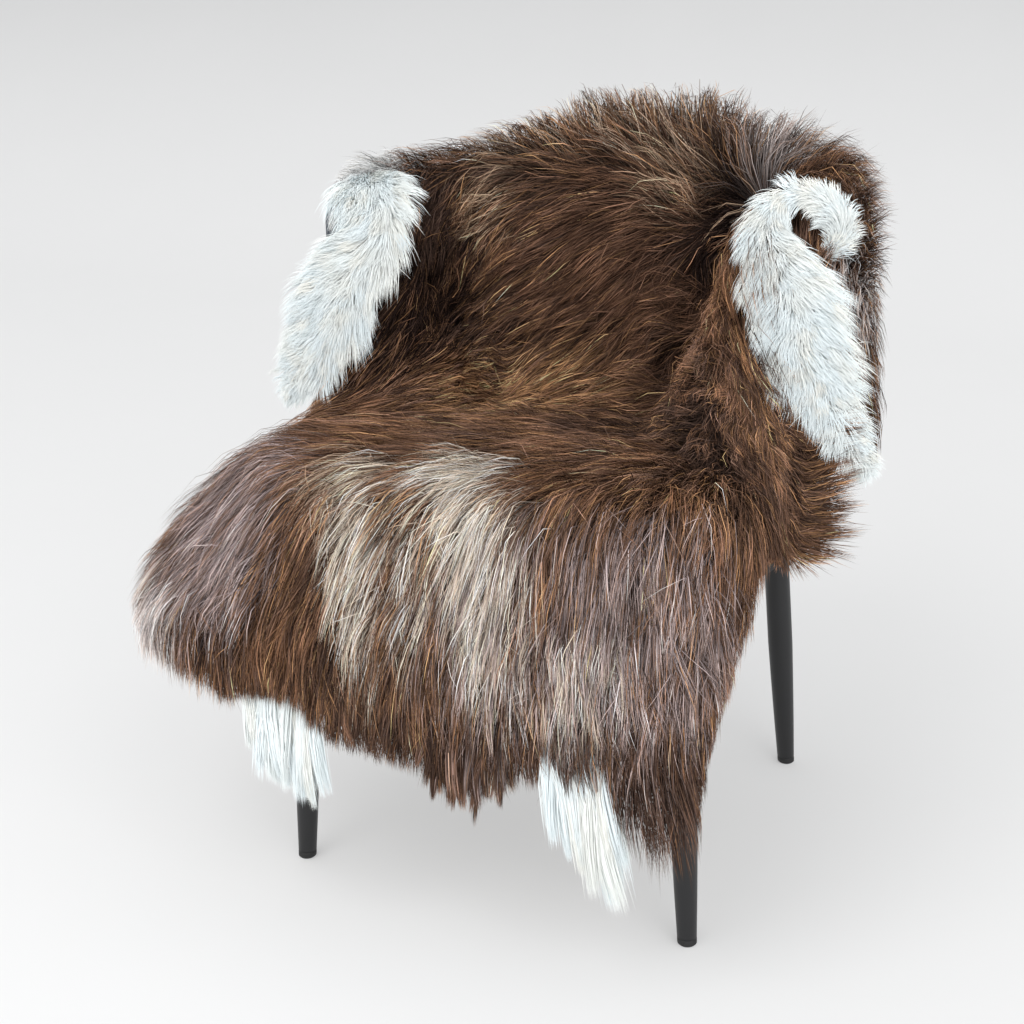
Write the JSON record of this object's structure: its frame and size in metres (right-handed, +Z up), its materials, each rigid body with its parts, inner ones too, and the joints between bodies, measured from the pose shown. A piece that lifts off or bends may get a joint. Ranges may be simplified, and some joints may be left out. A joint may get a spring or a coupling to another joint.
{
  "type": "sheepskin on a chair",
  "caption": "Long-haired sheepskin laid over the back and seat of a small tub chair with tapered metal legs.",
  "frame": {"origin": "on the floor, at the middle of the part's plan outline", "axes": "+Z up; the chair faces -Y; +X runs from its left side to its right side in the picture"},
  "size_m": [0.7598, 0.6576, 0.8059],
  "materials": {
    "wool": "long straight wool, brown with cream streaks",
    "white_wool": "long white wool",
    "upholstery": "dark blue-grey woven upholstery",
    "leg_metal": "satin black powder coat",
    "board": "black stained plywood",
    "glide_plastic": "matt black plastic"
  },
  "bodies": {
    "root": {"seat_pad": "upholstery", "back_shell": "upholstery", "seat_base": "board", "leg_front_left": "leg_metal", "glide_front_left": "glide_plastic", "leg_front_right": "leg_metal", "glide_front_right": "glide_plastic", "leg_rear_right": "leg_metal", "glide_rear_right": "glide_plastic", "leg_rear_left": "leg_metal", "glide_rear_left": "glide_plastic", "hide": "wool", "hem_front_left": "wool", "hem_front_middle": "wool", "tail": "wool", "hem_front_inner": "wool", "hem_front_right": "wool", "hem_left": "wool", "hem_right": "wool", "hem_outer_right": "wool", "hem_neck": "wool", "hind_tuft_left": "white_wool", "hind_tuft_right": "white_wool"}
  },
  "joints": []
}
